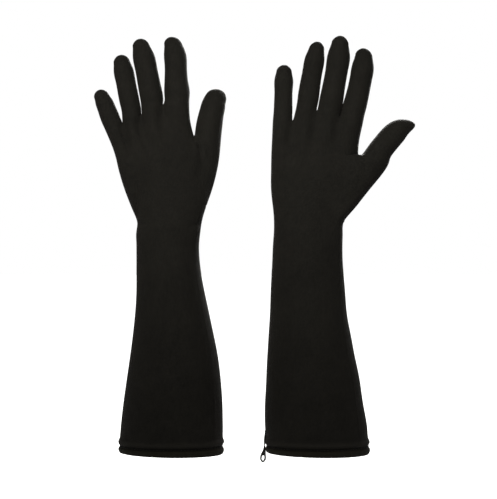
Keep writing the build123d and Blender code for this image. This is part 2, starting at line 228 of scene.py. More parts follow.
class Glove:
    """What one glove's cage is measured from: its joints, its solids and their trimmed outlines."""

    def __init__(self, name):
        self.name = name
        self.back = np.array((0.0, -PALM[name], 0.0))
        self.fingers = [FingerFrame(name, finger) for finger in FINGERS]
        self.wrist_z = JOINTS[f"{name}_wrist_flex"]["pos_m"][2]
        self.arm_tree = tree_of([node for node in frame["nodes"] if node.startswith(f"{name}_arm_")])
        self.hand_tree = tree_of([f"{name}_hand_back_panel", f"{name}_hand_palm_panel"])
        low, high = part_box(f"{name}_arm_back_panel")
        self.middle_x = (low.x + high.x) / 2
        self.thumb_rows = [len(ARM_HEIGHTS) + row for row in THUMB_ROWS[name]]
        self.tops = [self.top_point(column) for column in range(COLUMNS)]

    def arm_section(self, height):
        """Left edge, right edge and half depth of the plain arm."""
        z = min(max(height, HEM_SEAM_Z + 0.2 * MM), self.wrist_z - 0.5 * MM)
        left, right = (edge_of(self.arm_tree, (self.middle_x, 0, z), (side, 0, 0))[0] for side in (-1, 1))
        return left, right, abs(edge_of(self.arm_tree, ((left + right) / 2, 0, z), (0, -1, 0))[1])

    def palm_section(self, height):
        """The same for the plain palm without its thumb."""
        z = max(height, self.wrist_z + 0.5 * MM)
        left_at_wrist, right_at_wrist, _ = self.arm_section(self.wrist_z)
        left_top, right_top = self.tops[0], self.tops[THUMB_SIDE]
        left = left_top[0]
        if z < left_top[2] - 1.0 * MM:
            left = edge_of(self.hand_tree, (self.middle_x, 0, z), (-1, 0, 0))[0]
        share = min((z - self.wrist_z) / (right_top[2] - self.wrist_z), 1.0)
        bulge = HAND_BULGE[self.name] * np.sin(np.pi * share)
        right = right_at_wrist + (right_top[0] - right_at_wrist) * smooth(share) + bulge
        at_wrist = (left_at_wrist + right_at_wrist) / 2
        centre = at_wrist + (self.fingers[2].root[0] - at_wrist) * share
        depth = edge_of(self.hand_tree, (centre, 0, min(z, left_top[2] - 12 * MM)), self.back)
        return left, right, max(abs(depth[1]), LEAST_PALM_DEPTH)

    def outline(self, height):
        """The section at a height, trimmed at its two sides."""
        section = self.arm_section if height <= self.wrist_z else self.palm_section
        left, right, depth = section(height)
        heights, little_side, thumb_side = np.array(EDGE_TRIM[self.name]).T
        left -= np.interp(height / MM, heights, little_side) * MM
        right += np.interp(height / MM, heights, thumb_side) * MM
        return left, right, depth

    def column_angle(self, column, height, half_width):
        """Where a column lies round the arm, counted from the thumb's side over the back."""
        at_hem, at_wrist = GORE_INSET
        inset = at_hem + (at_wrist - at_hem) * min(height / self.wrist_z, 1.0)
        seam = np.arccos(1 - inset / half_width)
        first, last = GORE
        if column <= first:
            return np.pi - (np.pi - seam) * column / first
        if column <= last:
            return seam - 2 * seam * (column - first) / (last - first)
        return -seam - (np.pi - seam) * (column - last) / (COLUMNS - last)

    def web_point(self, gap, over):
        """On the web between two fingers: over is 1 on the back, -1 on the palm, 0 between."""
        height = WEBS[self.name][gap]
        pair = self.fingers[gap : gap + 2]
        x = 0.0
        for finger, side in zip(pair, (1, -1)):
            out = side * finger.across[0] * finger.radius + finger.along[0] * (height - finger.root[2])
            x += (finger.root[0] + out) / 2
        depth = 0.60 * min(finger.radius for finger in pair) * over
        return np.array((x, 0, height + WEB_RISE[over])) + self.back * depth

    def top_point(self, column):
        """Where a column of the palm ends, at the roots of the fingers."""
        over = 1 if column < THUMB_SIDE else -1
        place = column - 1 if over == 1 else COLUMNS - 1 - column
        if column == 0:
            finger, turn = self.fingers[0], np.pi
        elif column == THUMB_SIDE:
            finger, turn = self.fingers[-1], 0.0
        elif place % SIDE_COLUMNS == 0 and 0 < place < 12:
            return self.web_point(place // SIDE_COLUMNS - 1, over)
        else:
            number = min(place // SIDE_COLUMNS, 3)
            finger = self.fingers[number]
            turn = over * np.pi * (0.8 - 0.2 * (place - SIDE_COLUMNS * number))
        sways, fuller = FINGER_SHAPES[self.name][finger.name]
        radius = finger.radius * 1.02 + fuller[0] * MM
        out = finger.across * (sways[0] * MM + radius * np.cos(turn)) + self.back * radius * np.sin(turn)
        return finger.root + out - finger.along * ROOT_DROP[over]

    def palm_point(self, column, share):
        """On a column of the palm, at a share of its way up from the wrist."""
        top = self.tops[column]
        if share == 1.0:
            return top
        height = self.wrist_z + (top[2] - self.wrist_z) * share
        left, right, depth = self.outline(height)
        half = (right - left) / 2
        turn = self.column_angle(column, self.wrist_z, half)
        flat = smooth(share * 1.25)
        top_left, top_right = self.tops[0][0], self.tops[THUMB_SIDE][0]
        top_side = (2 * top[0] - top_left - top_right) / (top_right - top_left)
        side = float(np.clip(np.cos(turn) * (1 - flat) + top_side * flat, -1, 1))
        power = 2.0 + 0.9 * flat
        round_part = np.sign(np.sin(turn)) * (1 - abs(side) ** power) ** (1 / power)
        if column in (0, THUMB_SIDE):
            side, round_part = (-1.0 if column == 0 else 1.0), 0.0
        knuckle = smooth((share - 0.55) / 0.45)
        thickness = round_part * depth * (1 - knuckle) + float(top @ self.back) * knuckle
        return np.array(((left + right) / 2 + half * side, 0, height)) + self.back * thickness


# ---- the cage
class Cage:
    """Points and faces of one glove. A face is its corners, its sewn piece and a weave place for each corner."""

    def __init__(self):
        self.points, self.faces = [], []

    def add_point(self, place):
        self.points.append(np.asarray(place, float))
        return len(self.points) - 1

    def add_tube(self, lines, tip, levels, tip_levels, pitch, piece_of, flipped=False):
        """Faces from ring to ring and on to the tip. Levels are heights on the weave, pitch its step round."""
        count = len(lines[0])
        pole = self.add_point(tip)
        sides = [(column + 1, column) if flipped else (column, column + 1) for column in range(count)]
        for number, (lower, upper) in enumerate(zip(lines, lines[1:])):
            low, high = levels[number : number + 2]
            for column, (near, far) in enumerate(sides):
                corners = [lower[near % count], lower[far % count], upper[far % count], upper[near % count]]
                weave = [(near * pitch, low), (far * pitch, low), (far * pitch, high), (near * pitch, high)]
                self.faces.append((corners, piece_of(number, column), weave))
        low, high = tip_levels
        for column, (near, far) in enumerate(sides):
            corners = [lines[-1][near % count], lines[-1][far % count], pole]
            weave = [(near * pitch, low), (far * pitch, low), (column * pitch, high)]
            self.faces.append((corners, piece_of(len(lines), column), weave))


def level_depths(cage, chosen, rounds):
    """Evens out how deep the chosen points lie, which leaves the outline alone."""
    beside = {point: set() for point in chosen}
    for corners, _, _ in cage.faces:
        for first, second in zip(corners, [*corners[1:], corners[0]]):
            if first in beside:
                beside[first].add(second)
            if second in beside:
                beside[second].add(first)
    points = cage.points
    for _ in range(rounds):
        depths = {point: np.mean([points[other][1] for other in others]) for point, others in beside.items()}
        for point, depth in depths.items():
            points[point][1] += 0.6 * (depth - points[point][1])


def hem_swell(height):
    """How far the jersey stands out above the hem's stitching: a pinch, a ridge, then flat."""
    return sum(rise * np.exp(-((height - z) / reach) ** 2) for z, rise, reach in HEM_BUMPS)


def add_panels(cage, glove):
    """The arm and the palm, with a hole left for the thumb. Gives the rows of points."""
    rows = []
    for height in ARM_HEIGHTS:
        left, right, depth = glove.outline(height)
        swell = hem_swell(height)
        half = (right - left) / 2 + swell
        row = []
        for column in range(COLUMNS):
            turn = glove.column_angle(column, height, half)
            place = np.array(((left + right) / 2 + half * np.cos(turn), 0, height))
            row.append(cage.add_point(place + glove.back * (depth + swell) * np.sin(turn)))
        rows.append(row)
    for share in HAND_SHARES:
        rows.append([cage.add_point(glove.palm_point(column, share)) for column in range(COLUMNS)])

    low, high = glove.thumb_rows
    for row, (lower, upper) in enumerate(zip(rows, rows[1:])):
        for column in range(COLUMNS):
            if low <= row < high and THUMB_COLUMNS[0] <= column < THUMB_COLUMNS[1]:
                continue
            piece = "back_panel" if column < THUMB_SIDE else "palm_panel"
            if GORE[0] <= column < GORE[1] and row < low:
                piece = "arm_gore"
            after = (column + 1) % COLUMNS
            corners = [lower[column], lower[after], upper[after], upper[column]]
            places = (column, column + 1, column + 1, column)
            weave = [(place * PANEL_PITCH, cage.points[corner][2]) for place, corner in zip(places, corners)]
            cage.faces.append((corners, piece, weave))
    return rows


def add_thumb(cage, glove, rows):
    """Rings from the rim of the thumb's hole over the ball, which belongs to the panels, to the tip."""
    low, high = glove.thumb_rows
    first, last = THUMB_COLUMNS
    # The rim runs from its web side round the palm.
    rim = [rows[high][column] for column in range(first, last + 1)]
    rim += [rows[row][last] for row in range(high - 1, low - 1, -1)]
    rim += [rows[low][column] for column in range(last - 1, first - 1, -1)]
    rim += [rows[row][first] for row in range(low + 1, high)]
    turns = np.radians(50 + 360 / len(rim) * np.arange(len(rim)))
    shift = np.array((CENTRES[glove.name], 0, 0))
    path = [np.array((x, y * PALM[glove.name], z)) * MM + shift for x, y, z, _ in THUMB_PATH[glove.name]]
    rings = []
    for number, centre in enumerate(path[:-1]):
        ahead = unit(path[number + 1] - path[max(number - 1, 0)])
        over = unit(glove.back - ahead * (glove.back @ ahead))
        web_side = np.cross(ahead, over)
        if web_side[0] > 0:
            web_side = -web_side
        if number == 0:
            outward = -web_side
        radius = THUMB_PATH[glove.name][number][3] * MM
        rings.append([centre + radius * (np.sin(t) * web_side + np.cos(t) * over) for t in turns])
    bulge_out, bulge_palm = BALL_BULGE[glove.name]
    ball = []
    for share in BALL_SHARES:
        puff = 4 * share * (1 - share)
        ring = []
        for number, t in enumerate(turns):
            start = cage.points[rim[number]]
            place = start + (rings[0][number] - start) * share
            place = place + outward * bulge_out * puff * max(-np.sin(t), 0.0)
            ring.append(place - glove.back * bulge_palm * puff * max(-np.cos(t), 0.0) ** 0.7)
        ball.append(ring)
    lines = [rim] + [[cage.add_point(place) for place in ring] for ring in ball + rings]

    def piece_of(number, column):
        side = "back" if np.cos(turns[column] + np.pi / len(rim)) > 0 else "palm"
        return f"{side}_panel" if number <= len(ball) else f"thumb_{side}"

    levels = [number * THUMB_STEP for number in range(len(lines))]
    tip_levels = (levels[-1], levels[-1] + 2 * MM)
    cage.add_tube(lines, path[-1], levels, tip_levels, THUMB_PITCH, piece_of, flipped=True)

    # The palm and the back run on smoothly into the ball of the thumb.
    beside = {rows[row][column] for row in range(low - 1, high + 2) for column in BESIDE_THUMB}
    level_depths(cage, beside.union(*lines[: len(ball) + 1]), 9)


def add_fingers(cage, glove, top):
    """Tubes with rings of ten points, from the palm's top row and the webs' middle points."""
    webs = [cage.add_point(glove.web_point(gap, 0)) for gap in range(3)]
    turns = [np.pi * (1 - 0.2 * step) for step in range(10)]
    for number, finger in enumerate(glove.fingers):
        first = 1 + SIDE_COLUMNS * number
        backs = [top[first + step] for step in range(SIDE_COLUMNS + 1)]
        palms = [top[COLUMNS - first - step] for step in range(SIDE_COLUMNS + 1)]
        near = top[0] if number == 0 else webs[number - 1]
        far = top[THUMB_SIDE] if number == 3 else webs[number]
        sways, fuller = FINGER_SHAPES[glove.name][finger.name]
        dome = finger.radius_at(finger.length - TIP_SPAN) + 0.2 * MM
        straight = finger.length - dome
        heights = [TUBE_START + (straight - TUBE_START) * share for share in np.linspace(0, 1, 8)]
        heights += [finger.length - dome * (1 - share) for share in (0.36, 0.66, 0.87, 0.97)]
        curl = CURL * finger.length
        lines = [[near, *backs, far, *reversed(palms)]]
        for height in heights:
            share = height / finger.length
            held = min(height, straight)
            sway = np.interp(share, FINGER_STOPS, sways) * MM
            radius = finger.radius_at(held) + np.interp(held / finger.length, FINGER_STOPS, fuller) * MM
            radius *= np.sqrt(1 - ((height - held) / dome) ** 2)
            radius -= RIPPLE * np.sin(np.pi * share) * np.cos(3 * np.pi * share)
            centre = finger.root + finger.along * height - glove.back * curl * share ** 2 + finger.across * sway
            line = []
            for t in turns:
                out = finger.across * np.cos(t) + glove.back * OVAL * np.sin(t)
                line.append(cage.add_point(centre + radius * out))
            lines.append(line)

        def strip_of(_, column):
            """Which sewn strip of this finger a face between two ring points belongs to."""
            side = "back" if column < 5 else "palm"
            if column in (0, 9) and number > 0:
                side = "near"
            if column in (4, 5) and number < 3:
                side = "far"
            return f"{finger.name}_{side}"

        tip = finger.root + finger.along * finger.length - glove.back * curl + finger.across * sways[-1] * MM
        levels = [WEAVE_AT_ROOT + height for height in (0.0, *heights)]
        end = WEAVE_AT_ROOT + finger.length
        cage.add_tube(lines, tip, levels, (end, end + MM), FINGER_PITCH, strip_of)


def build_cage(glove):
    cage = Cage()
    rows = add_panels(cage, glove)
    add_thumb(cage, glove, rows)
    add_fingers(cage, glove, rows[-1])
    return cage


# ---- from cage to smooth surface
def subdivided(cage, points):
    """The cage's smooth surface: points, faces, each face's piece number and each corner's weave place."""
    faces, pieces, weaves = zip(*cage.faces)
    names = sorted(set(pieces))
    mesh = bpy.data.meshes.new("cage")
    mesh.from_pydata([tuple(point) for point in points], [], faces)
    mesh.polygons.foreach_set("material_index", [names.index(piece) for piece in pieces])
    layer = mesh.uv_layers.new(name="weave")
    layer.data.foreach_set("uv", np.concatenate(weaves).ravel())
    holder = link("cage", mesh)
    modifier = holder.modifiers.new("smooth", "SUBSURF")
    modifier.levels = modifier.render_levels = SUBDIVISIONS
    modifier.uv_smooth = "NONE"
    result = holder.evaluated_get(bpy.context.evaluated_depsgraph_get()).to_mesh()
    surface = np.empty(len(result.vertices) * 3)
    result.vertices.foreach_get("co", surface)
    corners = np.empty(len(result.loops), int)
    result.loops.foreach_get("vertex_index", corners)
    numbers = np.empty(len(result.polygons), int)
    result.polygons.foreach_get("material_index", numbers)
    weave = np.empty(len(result.loops) * 2)
    result.uv_layers[0].data.foreach_get("uv", weave)
    bpy.data.objects.remove(holder)
    bpy.data.meshes.remove(mesh)
    return surface.reshape(-1, 3), corners.reshape(-1, 4), numbers, weave.reshape(-1, 4, 2), names


def normals_of(points, faces):
    """Smooth outward direction at each point."""
    first, second, third, fourth = (points[faces[:, corner]] for corner in range(4))
    across = np.cross(third - first, fourth - second)
    total = np.zeros_like(points)
    for corner in range(4):
        np.add.at(total, faces[:, corner], across)
    return total / np.maximum(np.linalg.norm(total, axis=1), 1e-12)[:, None]


def fitted(cage):
    """The smooth surface that passes through the cage's points."""
    targets = np.array(cage.points)
    points = targets.copy()
    for _ in range(CAGE_FITS):
        surface = subdivided(cage, points)[0]
        points += targets - surface[: len(targets)]
    return subdivided(cage, points)


# ---- folds and seams
def fold_depth(fold, across, up, facing):
    """How far a fold pushes in each point. facing is 1 on the back, -1 on the palm."""
    side, *measures = fold
    x, z, end_x, end_z, width, depth = np.array(measures) * MM
    line = (end_x - x, end_z - z)
    along = ((across - x) * line[0] + (up - z) * line[1]) / np.hypot(*line) ** 2
    held = np.clip(along, 0, 1)
    distance = np.hypot(across - x - held * line[0], up - z - held * line[1]) / width
    along = np.clip(along, -0.2, 1.2)
    ends = smooth(np.minimum(along + 0.2, 1.2 - along) / 0.55)
    profile = np.exp(-(distance ** 2)) - 0.35 * np.exp(-((distance - 2.2) ** 2))
    return depth * profile * ends * np.clip(facing * side * 2.5, 0, 1)


# Creases and swells: the side (1 on the back, -1 on the palm), the line's start and end as across and up, its
# width and its depth, in millimetres.
FOLDS = {
    "left": [
        (1, -31.5, 262, -30.8, 226, 1.8, 1.1), (1, -32, 224.5, -24, 221, 2.2, 1.2),
        (1, 31, 223, 20, 219.5, 2.6, 0.8), (1, -29, 330, -26, 318, 1.6, 0.9),
        (1, -44, 321, -41, 309, 1.6, 0.9), (1, -6.8, 340, -6, 326, 1.6, 0.9),
        (1, 27.5, 300, 30.5, 284, 1.9, 1.3), (1, 30.5, 286, 27, 262, 3.6, 0.9),
        (-1, 12, 300, 20, 252, 3.4, 1.4), (-1, -40, 298, 4, 306, 3, 0.8),
    ],
    "right": [
        (-1, 42, 292, 36, 276, 2.2, 1.3), (-1, 36, 278, 18, 244, 4.2, 1.2),
        (-1, -22, 322, -19, 310, 1.6, 0.9), (-1, 1.2, 331, 1.6, 318, 1.6, 0.9),
        (-1, 21.5, 325, 20.5, 312, 1.6, 0.9), (-1, -38, 300, 6, 309, 3.2, 0.7),
        (1, 44, 289, 34, 262, 3.4, 1),
    ],
}


def shape_surface(glove, points, faces, numbers, names):
    """Adds folds, slow unevenness and seam lines to the smooth surface."""
    palm = PALM[glove]
    centre = CENTRES[glove]
    normals = normals_of(points, faces)
    across, up = points[:, 0] - centre, points[:, 2]
    facing = -palm * normals[:, 1]
    push = np.zeros(len(points))
    for fold in FOLDS[glove]:
        push += fold_depth(fold, across, up, facing)
    generator = np.random.default_rng(31 if glove == "left" else 47)
    slow = np.zeros(len(points))
    for _ in range(14):
        wave = generator.normal(size=3) * (1.0, 0.6, 0.55) * 2 * np.pi / SWELL_LENGTH
        slow += generator.uniform(0.4, 1.0) * np.sin(points @ wave + generator.uniform(0, 2 * np.pi))
    push += SWELL_DEPTH * slow * smooth((up - 14 * MM) / (12 * MM))

    # Seams lie where two pieces meet, apart from the lines at which a panel only bends.
    groups = np.array([seam_group(name) for name in names])[numbers]
    low = np.full(len(points), 1000)
    high = np.full(len(points), -1)
    for corner in range(4):
        np.minimum.at(low, faces[:, corner], groups)
        np.maximum.at(high, faces[:, corner], groups)
    on_seam = low != high
    near_seam = np.zeros(len(points), bool)
    touched = on_seam[faces].any(axis=1)
    near_seam[np.unique(faces[touched])] = True
    near_seam &= ~on_seam
    push += SEAM_GROOVE * on_seam - SEAM_LIP * near_seam
    points = points - normals * push[:, None]
    return points, normals_of(points, faces)


def seam_group(name):
    """Pieces with the same number run on into each other with no seam between them."""
    if name.endswith(("back_panel", "_back")):
        return 1
    return 2 if name.endswith(("palm_panel", "_palm")) else 3


# ---- from surface to sewn pieces
def tube_faces(first, rings, sides):
    """Faces of a closed tube whose rings of points are numbered on from the first."""
    starts = [first + ring * sides for ring in range(rings)]
    faces = []
    for low, high in zip(starts, starts[1:]):
        for side in range(sides):
            after = (side + 1) % sides
            faces.append([low + side, low + after, high + after, high + side])
    faces.append([starts[0] + side for side in reversed(range(sides))])
    faces.append([starts[-1] + side for side in range(sides)])
    return faces


def built_piece(name, points, faces, material, smooth_ends=False):
    """A closed mesh with all its faces turned outwards. Its quads are shaded smooth."""
    mesh = bpy.data.meshes.new(name)
    mesh.from_pydata([tuple(point) for point in points], [], faces)
    mesh.polygons.foreach_set("use_smooth", [smooth_ends or len(face) == 4 for face in faces])
    built = bmesh.new()
    built.from_mesh(mesh)
    bmesh.ops.recalc_face_normals(built, faces=built.faces)
    built.to_mesh(mesh)
    built.free()
    mesh.materials.append(material)
    return link(name, mesh)


def cloth_piece(name, points, normals, faces, weave, material):
    """A closed shell one layer of jersey thick, whose outside is shaded as part of the whole glove."""
    used, local = np.unique(faces, return_inverse=True)
    local = local.reshape(faces.shape)
    count = len(used)
    outside = points[used]
    directions = normals[used]
    inside = outside - directions * CLOTH
    edges = np.concatenate([local[:, (corner, (corner + 1) % 4)] for corner in range(4)])
    owners = np.tile(np.arange(len(local)), 4)
    starts = np.repeat(np.arange(4), len(local))
    keys = np.sort(edges, axis=1)
    _, first, times = np.unique(keys, axis=0, return_index=True, return_counts=True)
    open_edges = first[times == 1]
    rim = edges[open_edges]
    rim_faces = np.stack([rim[:, 1], rim[:, 0], rim[:, 0] + count, rim[:, 1] + count], axis=1)
    owners, starts = owners[open_edges], starts[open_edges]
    ends = (starts + 1) % 4
    rim_weave = np.stack([weave[owners, corner] for corner in (ends, starts, starts, ends)], axis=1)
    all_faces = np.concatenate([local, local[:, ::-1] + count, rim_faces])
    all_points = np.concatenate([outside, inside])
    all_weave = np.concatenate([weave, weave[:, ::-1], rim_weave])
    corner_normals = np.concatenate([directions[local], -directions[local[:, ::-1]]])
    corners = all_points[rim_faces]
    rim_out = np.cross(corners[:, 2] - corners[:, 0], corners[:, 3] - corners[:, 1])
    rim_out /= np.maximum(np.linalg.norm(rim_out, axis=1), 1e-12)[:, None]
    corner_normals = np.concatenate([corner_normals, np.repeat(rim_out[:, None], 4, axis=1)])

    mesh = bpy.data.meshes.new(name)
    mesh.vertices.add(len(all_points))
    mesh.vertices.foreach_set("co", all_points.ravel())
    mesh.loops.add(all_faces.size)
    mesh.loops.foreach_set("vertex_index", all_faces.ravel().astype(np.int32))
    mesh.polygons.add(len(all_faces))
    mesh.polygons.foreach_set("loop_start", np.arange(0, all_faces.size, 4, dtype=np.int32))
    layer = mesh.uv_layers.new(name="weave")
    layer.data.foreach_set("uv", all_weave.ravel())
    mesh.update(calc_edges=True)
    mesh.validate()
    mesh.polygons.foreach_set("use_smooth", np.ones(len(all_faces), bool))
    mesh.normals_split_custom_set(corner_normals.reshape(-1, 3).tolist())
    mesh.materials.append(material)
    return link(name, mesh)


# ---- finishes
class Finish:
    """A node-based material, built up by small named steps."""

    def __init__(self, name):
        self.material = bpy.data.materials.new(name)
        self.material.use_nodes = True
        self.nodes = self.material.node_tree.nodes
        self.links = self.material.node_tree.links
        self.shader = self.nodes["Principled BSDF"]

    def node(self, kind, settings=(), **inputs):
        made = self.nodes.new(kind)
        for name, value in dict(settings).items():
            setattr(made, name, value)
        for name, value in inputs.items():
            self.feed(made.inputs[name.replace("_", " ")], value)
        return made

    def feed(self, socket, value):
        if isinstance(value, bpy.types.NodeSocket):
            self.links.new(value, socket)
        else:
            socket.default_value = value

    def set(self, **inputs):
        for name, value in inputs.items():
            self.feed(self.shader.inputs[name.replace("_", " ")], value)

    def noise(self, vector, scale, detail=2.0, roughness=0.5):
        made = self.node("ShaderNodeTexNoise", Vector=vector, Scale=scale, Detail=detail, Roughness=roughness)
        return made.outputs["Fac"]

    def ramp(self, value, low, high, start, end):
        """Maps start..end to low..high."""
        made = self.node("ShaderNodeMapRange", Value=value)
        for number, setting in zip((1, 2, 3, 4), (start, end, low, high)):
            made.inputs[number].default_value = setting
        return made.outputs[0]

    def sum(self, first, second, operation="ADD"):
        made = self.node("ShaderNodeMath", {"operation": operation})
        self.feed(made.inputs[0], first)
        self.feed(made.inputs[1], second)
        return made.outputs[0]

    def mix(self, share, first, second):
        made = self.node("ShaderNodeMix", {"data_type": "RGBA"})
        self.feed(made.inputs["Factor"], share)
        self.feed(made.inputs["A"], first)
        self.feed(made.inputs["B"], second)
        return made.outputs["Result"]

    def bump(self, height, distance, strength=1.0):
        made = self.node("ShaderNodeBump", Height=height, Distance=distance, Strength=strength)
        self.set(Normal=made.outputs["Normal"])


WALE = 0.55 * MM  # the knit's pitch across, then along
COURSE = 0.44 * MM
# Painted highlight on the hem's ridge, painted shade in its groove and a painted lighter band below it: height,
# reach and change of tone.
HEM_PAINTED_LIGHT = ((HEM_RIDGE_Z, 3.2 * MM, 0.75), (HEM_SEAM_Z, 1.5 * MM, -0.9), (4.0 * MM, 2.4 * MM, 0.35))


def jersey(name, dark, light):
    """Matte black knit: fine wales along the fabric, a grain of loops, slow, warm unevenness, and painted
    highlight and shade round the hem.
    """
    knit = Finish(name)
    place = knit.node("ShaderNodeTexCoord").outputs["Object"]
    weave = knit.node("ShaderNodeUVMap", {"uv_map": "weave"}).outputs["UV"]
    apart = knit.node("ShaderNodeSeparateXYZ", Vector=weave)
    drift = knit.sum(knit.noise(place, 240.0, 1.0), 0.35 * MM, "MULTIPLY")
    wales = knit.sum(knit.sum(apart.outputs["X"], drift), 2 * np.pi / WALE, "MULTIPLY")
    courses = knit.sum(knit.sum(apart.outputs["Y"], drift), 2 * np.pi / COURSE, "MULTIPLY")
    ribs = knit.sum(knit.sum(wales, 0.0, "SINE"), knit.sum(courses, 0.0, "SINE"), "MULTIPLY")
    grain = knit.noise(place, 950.0, 2.0, 0.6)
    pills = knit.noise(place, 420.0, 3.0, 0.55)
    slow = knit.noise(place, 26.0, 2.0)
    mottle = knit.noise(place, 110.0, 3.0, 0.6)
    tone = knit.sum(knit.sum(slow, 0.55, "MULTIPLY"), knit.sum(mottle, 0.45, "MULTIPLY"))
    speckle = knit.ramp(grain, -0.34, 0.34, 0.3, 0.7)
    share = knit.sum(knit.ramp(tone, 0.3, 0.7, 0.3, 0.7), speckle)
    # Painted light at the hem, by height: a painted highlight on the ridge and on the lower band, painted shade in
    # the stitched groove.
    up = knit.node("ShaderNodeSeparateXYZ", Vector=place).outputs["Z"]
    for height, reach, change in HEM_PAINTED_LIGHT:
        away = knit.sum(knit.sum(up, -height), 0.0, "ABSOLUTE")
        share = knit.sum(share, knit.ramp(away, change, 0.0, 0.0, reach))
    knit.set(
        Base_Color=knit.mix(share, (*dark, 1), (*light, 1)),
        Roughness=knit.ramp(pills, 0.74, 0.95, 0.3, 0.7),
        Specular_IOR_Level=0.012,
        Sheen_Weight=0.006,
        Sheen_Roughness=0.42,
        Sheen_Tint=(0.55, 0.50, 0.44, 1),
    )
    height = knit.sum(knit.sum(ribs, 0.22, "MULTIPLY"), knit.sum(grain, 0.65, "MULTIPLY"))
    height = knit.sum(height, knit.sum(pills, 0.9, "MULTIPLY"))
    knit.bump(height, 0.30 * MM, 0.75)
    return knit.material


def thread_finish(name, dark, light, twist=0.0):
    """Black thread or tape, a little smoother than the jersey."""
    yarn = Finish(name)
    place = yarn.node("ShaderNodeTexCoord").outputs["Object"]
    grain = yarn.noise(place, 1600.0, 2.0)
    yarn.set(
        Base_Color=yarn.mix(yarn.ramp(grain, 0.0, 1.0, 0.35, 0.65), (*dark, 1), (*light, 1)),
        Roughness=yarn.ramp(grain, 0.45, 0.7, 0.3, 0.7),
        Specular_IOR_Level=0.03,
    )
    height = grain
    if twist:
        settings = {"bands_direction": "DIAGONAL"}
        wave = yarn.node("ShaderNodeTexWave", settings, Vector=place, Scale=twist, Distortion=1.5)
        height = yarn.sum(grain, wave.outputs["Fac"])
    yarn.bump(height, 0.12 * MM, 0.8)
    return yarn.material


JERSEY = jersey("black_jersey", (0.0006, 0.00056, 0.00047), (0.0019, 0.00176, 0.0014))
SIDE_JERSEY = jersey("black_side_jersey", (0.0007, 0.00066, 0.00055), (0.0020, 0.0018, 0.0015))
HEM_JERSEY = jersey("black_hem_jersey", (0.0007, 0.00065, 0.0004), (0.0021, 0.0019, 0.0012))
ELASTIC = thread_finish("black_elastic", (0.0012, 0.0011, 0.0010), (0.0030, 0.0028, 0.0024))
THREAD = thread_finish("black_thread", (0.0006, 0.00057, 0.0005), (0.0016, 0.0015, 0.0012))
TAPE = thread_finish("black_loop_tape", (0.0005, 0.00048, 0.0004), (0.0014, 0.0013, 0.0011), twist=260.0)


# ---- hem
def hem_roll(name, glove):
    """The turned edge: a closed band swept round the arm."""
    generator = np.random.default_rng(5 if glove.name == "left" else 9)
    turns = np.linspace(0, 2 * np.pi, HEM_STEPS, endpoint=False)
    waves = [(count, generator.uniform(0.3, 1.0), generator.uniform(0, 6.28)) for count in (31, 43, 57, 71, 88)]
    uneven = sum(weight * np.sin(count * turns + phase) for count, weight, phase in waves) / 2.2
    points, faces = [], []
    for number, turn in enumerate(turns):
        for offset, height in HEM_PROFILE:
            left, right, depth = glove.outline(max(height, HEM_SEAM_Z / MM) * MM)
            outer = offset > -1.0 and height < 7.0
            grow = (offset + HEM_PUCKER * uneven[number] * outer) * MM
            half = (right - left) / 2 + grow
            x = half * np.cos(turn)
            drop = HEM_TILT * x * (1 - smooth(height / 9))
            points.append(((left + right) / 2 + x, (depth + grow) * np.sin(turn), height * MM - drop))
    count = len(HEM_PROFILE)
    for number in range(HEM_STEPS):
        here, after = number * count, (number + 1) % HEM_STEPS * count
        for corner in range(count):
            ahead = (corner + 1) % count
            faces.append([here + corner, after + corner, after + ahead, here + ahead])
    piece = built_piece(name, points, faces, HEM_JERSEY)
    layer = piece.data.uv_layers.new(name="weave")
    for loop in piece.data.loops:
        number, corner = divmod(loop.vertex_index, count)
        layer.data[loop.index].uv = (number * 1.0 * MM, corner * 1.5 * MM)
    return piece


def hem_stitches(name, glove):
    """Short rounded stitches in the hem's groove."""
    left, right, depth = glove.outline(HEM_SEAM_Z)
    turns = np.linspace(0, 2 * np.pi, 2000)
    line = np.stack([(left + right) / 2 + (right - left) / 2 * np.cos(turns), depth * np.sin(turns)], axis=1)
    travel = np.concatenate([[0], np.cumsum(np.linalg.norm(np.diff(line, axis=0), axis=1))])
    count = int(travel[-1] / STITCH_PITCH)
    generator = np.random.default_rng(12 if glove.name == "left" else 21)

    def on_line(at):
        return np.array([np.interp(at, travel, line[:, 0]), np.interp(at, travel, line[:, 1]), HEM_SEAM_Z])

    points, faces = [], []
    sides, spans = 6, 6
    for number in range(count):
        middle = travel[-1] * (number + 0.5) / count
        reach = STITCH_REACH * generator.uniform(0.9, 1.08)
        slope = generator.uniform(-0.08, 0.08)
        faces += tube_faces(len(points), spans + 1, sides)
        for share in np.linspace(-1, 1, spans + 1):
            at = middle + reach * share
            centre = on_line(at)
            out = unit(np.cross(on_line(at + 0.1 * MM) - centre, (0, 0, 1)))
            thick = 0.26 * MM * max(1 - share ** 4, 0.15)
            centre = centre + out * (-0.28 + 0.22 * (1 - share ** 2)) * MM + (0, 0, slope * reach * share)
            for turn in 2 * np.pi * np.arange(sides) / sides:
                points.append(centre + thick * (np.cos(turn) * out + np.sin(turn) * np.array((0, 0, 1.0))))
    return built_piece(name, points, faces, THREAD)


HEM_STEPS = 360  # sections round the arm
HEM_PUCKER = 0.14  # unevenness of the turned edge, in millimetres
STITCH_PITCH, STITCH_REACH = 3.3 * MM, 1.18 * MM  # from stitch to stitch, and half of a stitch's length
# The turned edge's section: outwards and up, in millimetres.
HEM_PROFILE = [
    (-1.1, 8.4), (-0.9, 7.5), (-0.65, 6.9), (-0.1, 6.2), (0.6, 5.4), (1, 4.5), (1.05, 3.5), (0.75, 2.3),
    (0.25, 1.2), (-0.3, 0.45), (-0.95, 0.1), (-1.7, 0), (-2.4, 0.2), (-2.9, 0.8), (-3.15, 1.8), (-3.2, 3.2),
    (-3.15, 4.8), (-3.05, 6.6), (-3, 8.6), (-2.9, 10.6), (-2.7, 12), (-2.3, 12.5), (-1.9, 12.2), (-1.75, 10.8),
    (-1.7, 9.6), (-1.45, 9),
]


